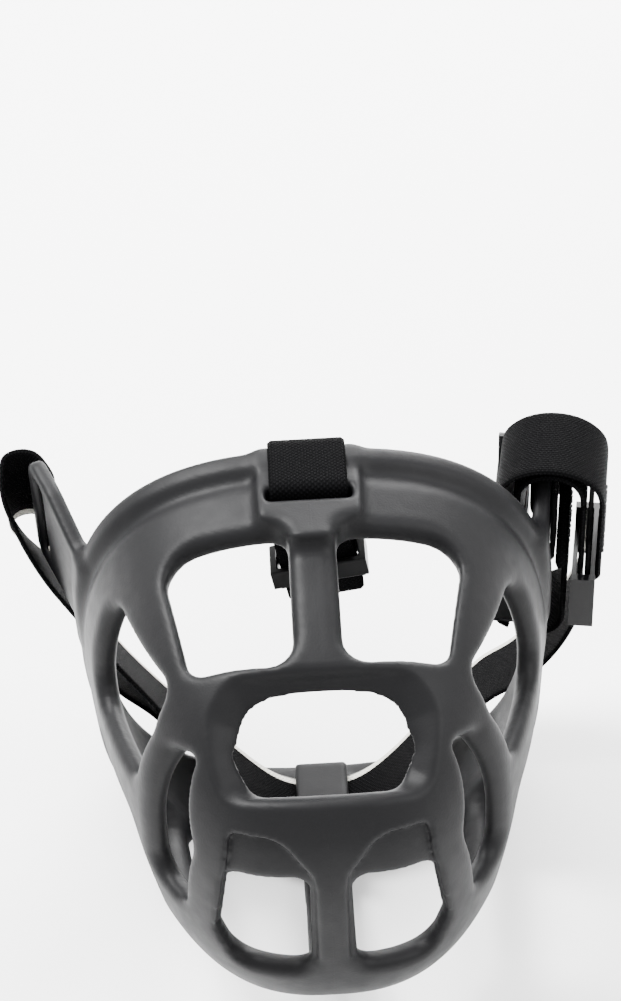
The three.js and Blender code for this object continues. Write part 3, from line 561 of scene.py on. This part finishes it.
def adjuster_stations():
    end_layer = NECK_LAYER + 1.9
    bar_middle = (end_layer + LOOP_LAYER) / 2

    def arch(start_out, end_out, start, end, rise):
        middle = (start_out + end_out) / 2
        arc = arc_path(middle, 0, abs(start_out - end_out) / 2, start, end, 8)
        return [(out, ARCH_Z + z * rise) for out, z in arc]

    path = [(end_layer, TOP_BAR_Z + SLIDER_REACH), (end_layer, TOP_BAR_Z)]
    path += arc_path(bar_middle, TOP_BAR_Z - 0.4, bar_middle - end_layer, 200, 340, 4)
    path += [(LOOP_LAYER, TOP_BAR_Z), (LOOP_LAYER, TOP_BAR_Z + SLIDER_REACH)]
    path += arch(LOOP_LAYER, BUCKLE_LAYER - BAR_TURN, 0, 180, ARCH_FLATTENING)
    path += arc_path(BUCKLE_LAYER, 96, BAR_TURN, 180, 360, 6)
    path += arch(BUCKLE_LAYER + BAR_TURN, NECK_LAYER, 180, 0, 1)
    return [vertical_run(out, z) for out, z in path]


def buckle_strap_stations():
    front = BUCKLE_LAYER + BAR_TURN
    rear = BUCKLE_LAYER - BAR_TURN
    turn_z = 56
    path = [(BUCKLE_LAYER + 1, turn_z - 5), (rear + 0.6, turn_z - 3), (rear, turn_z - 0.6)]
    path += arc_path(BUCKLE_LAYER, turn_z + 4, BAR_TURN, 180, 0, 5)
    path += arc_path((RUN_LAYER + front) / 2, turn_z, (RUN_LAYER - front) / 2, 180, 360, 8)
    path += [(RUN_LAYER, 64), (RUN_LAYER, 72)]
    stations = [vertical_run(out, z) for out, z in path]
    # The diagonal fold at the top, then round the arm's rear bar, out of its slot and flat on the arm.
    place = arm_place(1)
    outward = unit(place(0, 1, 0) - place(0, 0, 0))
    back = unit(place(1, 0, 0) - place(0, 0, 0))
    crease = unit(np.array((0, 0, 1.0)) - back)

    def fold(out, shift, face):
        near = place(RUN_START, out, WEBBING_LOW_Z) + crease * shift
        far = place(RUN_END, out, WEBBING_HIGH_Z) + crease * shift
        return near, far, face

    stations.append(fold(RUN_LAYER, 0, outward))
    stations.append(fold((RUN_LAYER + WRAP_LAYER) / 2, (RUN_LAYER - WRAP_LAYER) / 2, crease))
    stations.append(fold(WRAP_LAYER, 0, -outward))
    wrap = arc_path(32.5, (WRAP_LAYER + INSIDE_LAYER) / 2, (WRAP_LAYER - INSIDE_LAYER) / 2, 90, -90, 6)
    wrap += [
        (28.6, INSIDE_LAYER),
        (26, -2.4),
        (25, -0.8),
        (25, 0.8),
        (24, 2.5),
        (21.5, SEWN_LAYER),
        (9, SEWN_LAYER),
    ]
    stations += plain((place(u, v, WEBBING_LOW_Z), place(u, v, WEBBING_HIGH_Z)) for u, v in wrap)
    return stations


LOOP_TOP = RIM_TOP + 1.9
LOOP_UNDER = RIM_TOP - WALL - 1.6
TAIL_TOP = LOOP_UNDER - 3.8
TAIL_Y = -15.9
TAIL_HALF_GAP = 2.2
TAIL_FOLD_DOWN = 21
TAIL_TILT = math.radians(9)


def overhead_loop_stations():
    slot = sum(OVERHEAD_SLOT_Y) / 2
    path = [
        (slot, LOOP_UNDER - 1.2),
        (slot, RIM_TOP - 1),
        (slot + 0.6, LOOP_TOP - 0.7),
        (slot + 2.6, LOOP_TOP),
        (-1, LOOP_TOP),
        (1.6, LOOP_TOP - 1.4),
        (2.4, RIM_TOP - 3),
        (1.6, LOOP_UNDER + 0.4),
        (-1.5, LOOP_UNDER - 0.2),
        (slot + 3.4, LOOP_UNDER - 1.6),
    ]
    half = OVERHEAD_WIDTH / 2
    return plain((np.array((-half, y, z)), np.array((half, y, z))) for y, z in path)


def tail_place(across, y, down):
    """A point on the overhead strap's tail, which hangs tilted to one side."""
    x = across * math.cos(TAIL_TILT) + down * math.sin(TAIL_TILT)
    z = TAIL_TOP - 1.7 - down * math.cos(TAIL_TILT) + across * math.sin(TAIL_TILT)
    return np.array((x, y, z), float)


def overhead_tail_stations():
    path = [(TAIL_Y - TAIL_HALF_GAP, 0), (TAIL_Y - TAIL_HALF_GAP, TAIL_FOLD_DOWN)]
    path += arc_path(TAIL_Y, TAIL_FOLD_DOWN, TAIL_HALF_GAP, 180, 0, 6)
    path += [(TAIL_Y + TAIL_HALF_GAP, 0)]
    half = OVERHEAD_WIDTH / 2
    return plain((tail_place(-half, y, down), tail_place(half, y, down)) for y, down in path)


# ---- Thread -------------------------------------------------------------------------------------
SEAM_WIDTH = 9
SEAM_Z = 84
STITCH_PITCH = 1.9
STITCH_FILL = 0.8  # the part of the pitch that a stitch covers
STITCH_RADIUS = 0.33
STITCH_LIFT = 0.18
STITCH_SIDES = 6
STITCH_RINGS = 5


def stitches(name, out, length, material):
    """A sewn box with two diagonals: short rounded stitches in rows, each dipping at its ends."""
    place = arm_place(1)
    far_u = length / 2
    far_v = SEAM_WIDTH / 2
    corners = [(-far_u, -far_v), (far_u, -far_v), (far_u, far_v), (-far_u, far_v)]
    rows = [(corners[i], corners[(i + 1) % 4]) for i in range(4)]
    rows += [(corners[0], corners[2]), (corners[1], corners[3])]
    points = []
    quads = []
    for (u0, v0), (u1, v1) in rows:
        run = math.hypot(u1 - u0, v1 - v0)
        count = max(2, round(run / STITCH_PITCH))
        du = (u1 - u0) / run
        dv = (v1 - v0) / run
        for k in range(count):
            first = len(points)
            for r in range(STITCH_RINGS):
                t = (r + 0.5) / STITCH_RINGS
                s = (k + (1 - STITCH_FILL) / 2 + STITCH_FILL * t) / count
                radius = STITCH_RADIUS * math.sin(math.pi * (0.15 + 0.7 * t))
                lift = STITCH_LIFT * math.sin(math.pi * t)
                for q in range(STITCH_SIDES):
                    angle = 2 * math.pi * q / STITCH_SIDES
                    side = radius * math.cos(angle)
                    u = u0 + (u1 - u0) * s - dv * side
                    v = v0 + (v1 - v0) * s + du * side
                    height = out + lift + radius * math.sin(angle)
                    points.append(place(RUN_CENTRE + u, height, SEAM_Z + v))
            for r in range(STITCH_RINGS - 1):
                for q in range(STITCH_SIDES):
                    a = first + r * STITCH_SIDES + q
                    b = first + r * STITCH_SIDES + (q + 1) % STITCH_SIDES
                    quads.append((a, b, b + STITCH_SIDES, a + STITCH_SIDES))
            last = first + (STITCH_RINGS - 1) * STITCH_SIDES
            quads.append(tuple(first + q for q in reversed(range(STITCH_SIDES))))
            quads.append(tuple(last + q for q in range(STITCH_SIDES)))
    mesh = bpy.data.meshes.new(name)
    mesh.from_pydata([from_rim(*p) for p in points], [], quads)
    mesh.update()
    mesh.shade_smooth()
    mesh.materials.append(material)
    piece = bpy.data.objects.new(name, mesh)
    bpy.context.scene.collection.objects.link(piece)
    return piece


# ---- Materials ----------------------------------------------------------------------------------
MOULD_LINE_HALF = 0.25
YARN_WIDTH = 1.5
PICK_LENGTH = 1.1
EDGE_LINE_AT = 10.6  # the light line's middle, across the neck webbing from its centre
EDGE_LINE_HALF = 0.9

RUBBER_DARK = (0.0026, 0.0026, 0.0030)
RUBBER_LIGHT = (0.0046, 0.0046, 0.0051)
NYLON_DARK = (0.0006, 0.0006, 0.0007)
NYLON_LIGHT = (0.0028, 0.0028, 0.0031)
# The neck webbing's pale stripe and grey selvage colours are partly painted highlight, standing for light
# caught on the strap's rear edge.
REFLECTIVE_YARN_AND_HIGHLIGHT = (0.50, 0.485, 0.44)
SELVAGE_YARN_AND_SHEEN = (0.12, 0.12, 0.115)
THREAD_DARK = (0.006, 0.006, 0.007)
THREAD_LIGHT = (0.018, 0.018, 0.020)


def new_material(name, color, roughness, specular=0.5):
    material = bpy.data.materials.new(name)
    material.use_nodes = True
    shader = material.node_tree.nodes["Principled BSDF"]
    shader.inputs["Base Color"].default_value = (*color, 1)
    shader.inputs["Roughness"].default_value = roughness
    shader.inputs["Specular IOR Level"].default_value = specular
    return material, material.node_tree, shader


def add_noise(tree, scale, detail=4.0):
    place = tree.nodes.new("ShaderNodeTexCoord")
    noise = tree.nodes.new("ShaderNodeTexNoise")
    noise.inputs["Scale"].default_value = scale
    noise.inputs["Detail"].default_value = detail
    tree.links.new(place.outputs["Object"], noise.inputs["Vector"])
    return noise.outputs["Fac"]


def add_math(tree, operation, first, second=0.0):
    node = tree.nodes.new("ShaderNodeMath")
    node.operation = operation
    for socket, value in zip(node.inputs, (first, second)):
        if isinstance(value, (int, float)):
            socket.default_value = value
        else:
            tree.links.new(value, socket)
    return node.outputs["Value"]


def add_bump(tree, shader, height, distance, strength=1.0, below=None):
    bump = tree.nodes.new("ShaderNodeBump")
    bump.inputs["Strength"].default_value = strength
    bump.inputs["Distance"].default_value = distance
    tree.links.new(height, bump.inputs["Height"])
    if below is not None:
        tree.links.new(below, bump.inputs["Normal"])
    tree.links.new(bump.outputs["Normal"], shader.inputs["Normal"])
    return bump.outputs["Normal"]


def add_range(tree, value, low, high):
    node = tree.nodes.new("ShaderNodeMapRange")
    node.inputs["To Min"].default_value = low
    node.inputs["To Max"].default_value = high
    tree.links.new(value, node.inputs["Value"])
    return node.outputs["Result"]


# Which sockets of a mixing node carry colours.
MIX_FACTOR = 0
MIX_FIRST = 6
MIX_SECOND = 7
MIX_RESULT = 2


def add_mix(tree, factor, first, second):
    """A colour between two others; the first is a colour or another node's output."""
    mix = tree.nodes.new("ShaderNodeMix")
    mix.data_type = "RGBA"
    if isinstance(first, tuple):
        mix.inputs[MIX_FIRST].default_value = (*first, 1)
    else:
        tree.links.new(first, mix.inputs[MIX_FIRST])
    mix.inputs[MIX_SECOND].default_value = (*second, 1)
    tree.links.new(factor, mix.inputs[MIX_FACTOR])
    return mix.outputs[MIX_RESULT]


def rubber_material():
    material, tree, shader = new_material("basket_rubber", (0.012, 0.012, 0.013), 0.5, 0.11)
    cloud = add_noise(tree, 60.0)
    tree.links.new(add_mix(tree, cloud, RUBBER_DARK, RUBBER_LIGHT), shader.inputs["Base Color"])
    tree.links.new(add_range(tree, add_noise(tree, 220.0), 0.42, 0.58), shader.inputs["Roughness"])
    below = add_bump(tree, shader, add_noise(tree, 90.0, 2.0), 0.0006, 0.35)
    # The faint line that the two halves of the mould leave down the middle.
    place = tree.nodes.new("ShaderNodeTexCoord")
    split = tree.nodes.new("ShaderNodeSeparateXYZ")
    tree.links.new(place.outputs["Object"], split.inputs["Vector"])
    aside = add_math(tree, "ABSOLUTE", add_math(tree, "SUBTRACT", split.outputs["X"], RIM_ORIGIN.x))
    line = add_math(tree, "LESS_THAN", aside, MOULD_LINE_HALF * MM)
    below = add_bump(tree, shader, line, 0.0002, 0.6, below)
    add_bump(tree, shader, add_noise(tree, 1800.0), 0.00006, 0.7, below)
    return material


def webbing_material(name, edge_light):
    """Plain-woven nylon: coordinates are millimetres across and along the strap."""
    material, tree, shader = new_material(name, (0.003, 0.003, 0.003), 0.75, 0.02)
    place = tree.nodes.new("ShaderNodeTexCoord")
    split = tree.nodes.new("ShaderNodeSeparateXYZ")
    tree.links.new(place.outputs["UV"], split.inputs["Vector"])
    across = split.outputs["X"]
    along = split.outputs["Y"]
    warp = add_math(tree, "SINE", add_math(tree, "MULTIPLY", across, 2 * math.pi / YARN_WIDTH))
    weft = add_math(tree, "SINE", add_math(tree, "MULTIPLY", along, 2 * math.pi / PICK_LENGTH))
    over = add_math(tree, "MULTIPLY", warp, weft)
    rib = add_math(tree, "MULTIPLY", add_math(tree, "ABSOLUTE", warp), 0.8)
    height = add_math(tree, "ADD", add_math(tree, "MULTIPLY", over, 0.6), rib)
    fuzz = add_math(tree, "MULTIPLY", add_noise(tree, 2500.0), 0.5)
    add_bump(tree, shader, add_math(tree, "ADD", height, fuzz), 0.0002, 0.9)
    tone = add_mix(tree, add_range(tree, over, 0.15, 0.85), NYLON_DARK, NYLON_LIGHT)
    if edge_light:
        # A light stripe beside the rear selvage: partly a reflective yarn, partly a painted highlight where
        # that edge of the strap catches the light.
        distance = add_math(tree, "ABSOLUTE", add_math(tree, "SUBTRACT", across, EDGE_LINE_AT))
        inside = add_math(tree, "LESS_THAN", distance, EDGE_LINE_HALF)
        tone = add_mix(tree, inside, tone, REFLECTIVE_YARN_AND_HIGHLIGHT)
        # Beyond the stripe the selvage is painted mid grey: partly a grey edge yarn, partly painted sheen
        # fading off the lit edge.
        beyond = add_math(tree, "GREATER_THAN", across, EDGE_LINE_AT + EDGE_LINE_HALF)
        tone = add_mix(tree, beyond, tone, SELVAGE_YARN_AND_SHEEN)
    tree.links.new(tone, shader.inputs["Base Color"])
    return material


def acetal_material():
    material, tree, shader = new_material("buckle_acetal", (0.0025, 0.0025, 0.0028), 0.34, 0.16)
    tree.links.new(add_range(tree, add_noise(tree, 300.0), 0.24, 0.36), shader.inputs["Roughness"])
    add_bump(tree, shader, add_noise(tree, 2200.0), 0.00003, 0.6)
    return material


def thread_material():
    material, tree, shader = new_material("sewing_thread", (0.03, 0.03, 0.032), 0.7, 0.4)
    tone = add_mix(tree, add_noise(tree, 1500.0), THREAD_DARK, THREAD_LIGHT)
    tree.links.new(tone, shader.inputs["Base Color"])
    add_bump(tree, shader, add_noise(tree, 3500.0), 0.00008, 1.0)
    return material


rubber = rubber_material()
nylon = webbing_material("black_webbing", False)
edged_nylon = webbing_material("neck_webbing_weave", True)
acetal = acetal_material()
thread = thread_material()


# ---- Pieces -------------------------------------------------------------------------------------
def stands_for(piece, node, body):
    """A piece that takes the place of a CAD node and moves with a body."""
    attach(piece, body)
    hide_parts(node)


basket = bpy.data.objects.new("rubber_basket", basket_mesh())
basket.data.materials.append(rubber)
bpy.context.scene.collection.objects.link(basket)
stands_for(basket, "basket", "muzzle")

STRAPS = [
    ("neck_webbing", "neck_strap", "muzzle", neck_stations(), edged_nylon),
    ("tail_webbing", "strap_tail", "muzzle", tail_stations(), nylon),
    ("buckle_webbing", "buckle_strap", "muzzle", buckle_strap_stations(), nylon),
    ("adjuster_webbing", "adjuster_loop", "clip", adjuster_stations(), nylon),
    ("overhead_webbing", "overhead_loop", "muzzle", overhead_loop_stations(), nylon),
    ("overhead_tail_webbing", "overhead_tail", "tail", overhead_tail_stations(), nylon),
]
for name, node, body, stations, material in STRAPS:
    stands_for(webbing(name, stations, material), node, body)

SEAM_PROUD = 0.05
SEAMS = [
    ("arm_thread", "arm_stitching", "muzzle", RUN_LAYER, 12),
    ("loop_thread", "loop_stitching", "clip", LOOP_LAYER, 18),
]
for name, node, body, layer, length in SEAMS:
    piece = stitches(name, layer + WEBBING_THICKNESS / 2 + SEAM_PROUD, length, thread)
    stands_for(piece, node, body)

# The plastic fittings keep their CAD shape, with their edges eased by this much.
WELD_REACH = 0.01
FITTINGS = {
    "buckle_housing": 0.9,
    "clip_base": 0.8,
    "release_prong_front": 0.8,
    "release_prong_rear": 0.8,
    "neck_slider": 0.4,
    "overhead_slider": 0.5,
}
for node, easing in FITTINGS.items():
    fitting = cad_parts[node]
    for material_slot in fitting.material_slots:
        material_slot.material = acetal
    weld = fitting.modifiers.new("weld", "WELD")
    weld.merge_threshold = WELD_REACH * MM
    bevel = fitting.modifiers.new("eased_edges", "BEVEL")
    bevel.width = easing * MM
    bevel.segments = 3
    bevel.limit_method = "ANGLE"
    bevel.angle_limit = math.radians(30)
    bevel.harden_normals = True


# ---- Camera -------------------------------------------------------------------------------------
IMAGE_HEIGHT = 1001
FOCAL_PIXELS = 2620
VIEW_TARGET = (0, -30, 65.25)
# Where the target lands, in pixels right of and below the frame's middle.
VIEW_TARGET_RIGHT = 8.5
VIEW_TARGET_DOWN = 202.5
VIEW_DISTANCE = 700
VIEW_AZIMUTH = math.radians(-0.8)
VIEW_ELEVATION = math.radians(43.5)
VIEW_ROLL = math.radians(-2.6)


def add_camera():
    back = Vector((
        math.sin(VIEW_AZIMUTH) * math.cos(VIEW_ELEVATION),
        -math.cos(VIEW_AZIMUTH) * math.cos(VIEW_ELEVATION),
        math.sin(VIEW_ELEVATION),
    ))
    level_right = Vector((0, 0, 1)).cross(back).normalized()
    level_up = back.cross(level_right)
    right = math.cos(VIEW_ROLL) * level_right + math.sin(VIEW_ROLL) * level_up
    up = math.cos(VIEW_ROLL) * level_up - math.sin(VIEW_ROLL) * level_right
    place = Vector(VIEW_TARGET) + back * VIEW_DISTANCE
    place -= right * (VIEW_TARGET_RIGHT / FOCAL_PIXELS * VIEW_DISTANCE)
    place += up * (VIEW_TARGET_DOWN / FOCAL_PIXELS * VIEW_DISTANCE)
    data = bpy.data.cameras.new("camera")
    data.sensor_fit = "VERTICAL"
    data.sensor_height = 24
    data.lens = FOCAL_PIXELS / IMAGE_HEIGHT * data.sensor_height
    data.clip_start = 0.01
    camera = bpy.data.objects.new("camera", data)
    bpy.context.scene.collection.objects.link(camera)
    turn = Matrix((right, up, back)).transposed().to_4x4()
    camera.matrix_world = Matrix.Translation(from_rim(*place)) @ turn
    bpy.context.scene.camera = camera


add_camera()


# ---- Floor and light ----------------------------------------------------------------------------
FLOOR_HALF = 6.0
WORLD_STRENGTH = 2.3
LIGHT_AIM = (0, -30, 60)
# Name, place in millimetres, width in metres, watts.
LIGHTS = [
    ("key", (-400, 250, 800), 0.5, 34),
    ("fill", (700, -300, 800), 0.8, 13),
    ("back", (250, 800, 500), 0.6, 26),
]


def add_floor():
    data = bpy.data.meshes.new("floor")
    half = FLOOR_HALF
    corners = [(-half, -half, 0), (half, -half, 0), (half, half, 0), (-half, half, 0)]
    data.from_pydata(corners, [], [(0, 1, 2, 3)])
    floor = bpy.data.objects.new("floor", data)
    bpy.context.scene.collection.objects.link(floor)
    material = bpy.data.materials.new("floor_paint")
    material.use_nodes = True
    shader = material.node_tree.nodes["Principled BSDF"]
    shader.inputs["Base Color"].default_value = (0.93, 0.93, 0.93, 1)
    shader.inputs["Roughness"].default_value = 0.9
    data.materials.append(material)


def add_area_light(name, place, size, watts):
    data = bpy.data.lights.new(name, "AREA")
    data.shape = "DISK"
    data.size = size
    data.energy = watts
    light = bpy.data.objects.new(name, data)
    bpy.context.scene.collection.objects.link(light)
    light.location = from_rim(*place)
    away = light.location - from_rim(*LIGHT_AIM)
    light.rotation_euler = away.to_track_quat("Z", "Y").to_euler()


def add_world():
    world = bpy.data.worlds.new("studio")
    world.use_nodes = True
    background = world.node_tree.nodes["Background"]
    background.inputs["Color"].default_value = (1, 1, 1, 1)
    background.inputs["Strength"].default_value = WORLD_STRENGTH
    bpy.context.scene.world = world


add_floor()
add_world()
for name, place, size, watts in LIGHTS:
    add_area_light(name, place, size, watts)

bpy.context.view_layer.update()
